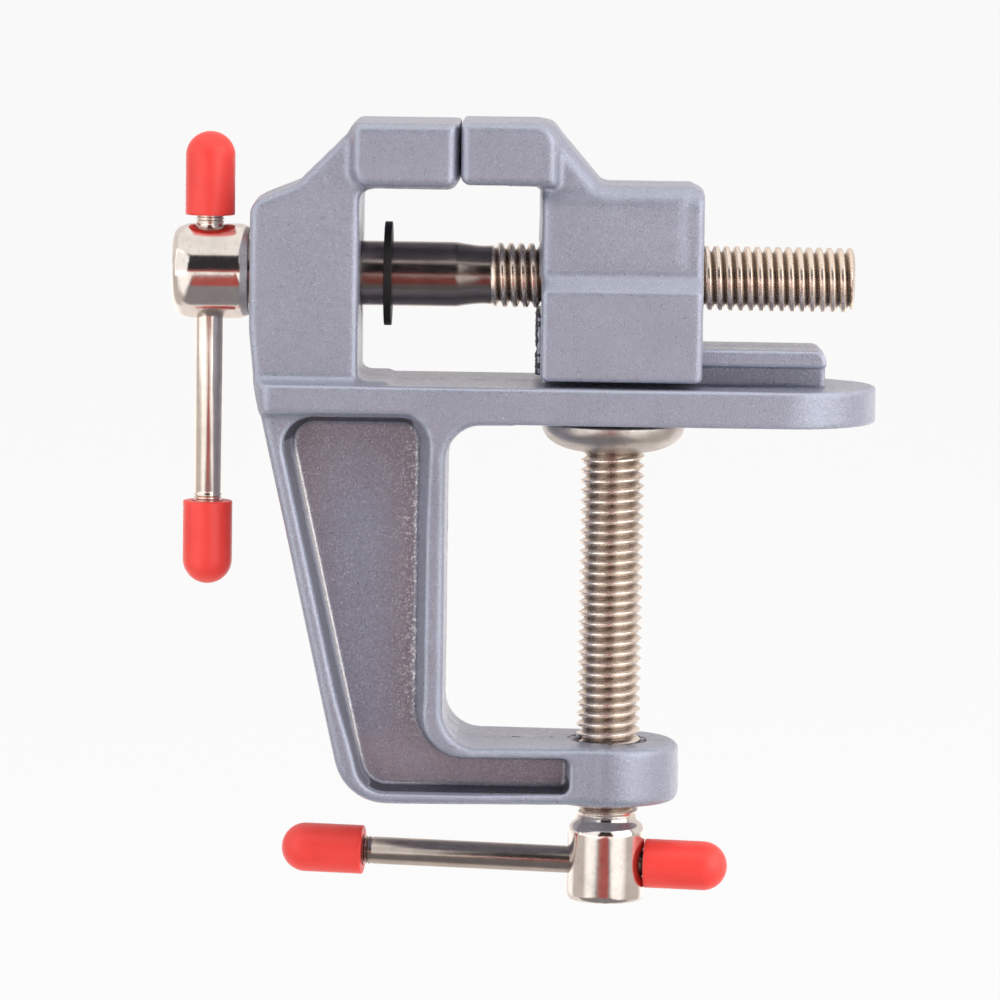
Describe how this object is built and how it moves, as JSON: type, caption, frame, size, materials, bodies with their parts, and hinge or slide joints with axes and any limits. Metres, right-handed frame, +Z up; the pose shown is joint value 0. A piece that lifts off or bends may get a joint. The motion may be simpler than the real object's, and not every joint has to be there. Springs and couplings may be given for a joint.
{
  "type": "miniature bench vise",
  "caption": "Small cast bench vise with a sliding jaw, a jaw screw, and a C-frame clamp with a swivel pad that holds it to a table edge.",
  "frame": {"origin": "where the clamp screw's axis meets the plane of the base plate's underside, which rests on the table", "axes": "+X along the jaw screw from its head towards the plate's round end, +Y across the jaws, +Z up"},
  "size_m": [0.086, 0.0234, 0.096],
  "materials": {
    "cast_aluminium": "satin as-cast",
    "nickel_plate": "bright nickel plate",
    "black_steel": "black oxide",
    "red_plastic": "soft gloss"
  },
  "bodies": {
    "frame": {"frame": "cast_aluminium"},
    "moving_jaw": {"moving_jaw": "cast_aluminium"},
    "jaw_screw": {"jaw_screw": "nickel_plate", "retaining_ring": "black_steel"},
    "jaw_handle": {"jaw_handle_bar": "nickel_plate", "jaw_handle_cap_upper": "red_plastic", "jaw_handle_cap_lower": "red_plastic"},
    "swivel_pad": {"swivel_pad": "nickel_plate"},
    "clamp_screw": {"clamp_screw": "nickel_plate"},
    "clamp_handle": {"clamp_handle_bar": "nickel_plate", "clamp_handle_cap_left": "red_plastic", "clamp_handle_cap_right": "red_plastic"}
  },
  "joints": [
    {"name": "jaw_screw_spin", "type": "hinge", "parent": "frame", "child": "jaw_screw", "pos_m": [-0.0495, 0, 0.0175], "axis": [1, 0, 0], "range_deg": [-7920, 0]},
    {"name": "moving_jaw_slide", "type": "slide", "parent": "frame", "child": "moving_jaw", "axis": [1, 0, 0], "range_m": [0, 0.0275]},
    {"name": "jaw_handle_slide", "type": "slide", "parent": "jaw_screw", "child": "jaw_handle", "axis": [0, 0, 1], "range_m": [-0.00095, 0.02235]},
    {"name": "pad_slide", "type": "slide", "parent": "frame", "child": "swivel_pad", "axis": [0, 0, 1], "range_m": [-0.03375, 0]},
    {"name": "clamp_screw_spin", "type": "hinge", "parent": "swivel_pad", "child": "clamp_screw", "pos_m": [0, 0, -0.0547], "axis": [0, 0, 1], "range_deg": [-9720, 0]},
    {"name": "clamp_handle_slide", "type": "slide", "parent": "clamp_screw", "child": "clamp_handle", "axis": [0.9944, -0.1045, -0.0131], "range_m": [0, 0.0254]}
  ],
  "couplings": [
    {"joint": "moving_jaw_slide", "follows": "jaw_screw_spin", "m_per_rad": -0.00019894},
    {"joint": "pad_slide", "follows": "clamp_screw_spin", "m_per_rad": 0.00019894}
  ]
}
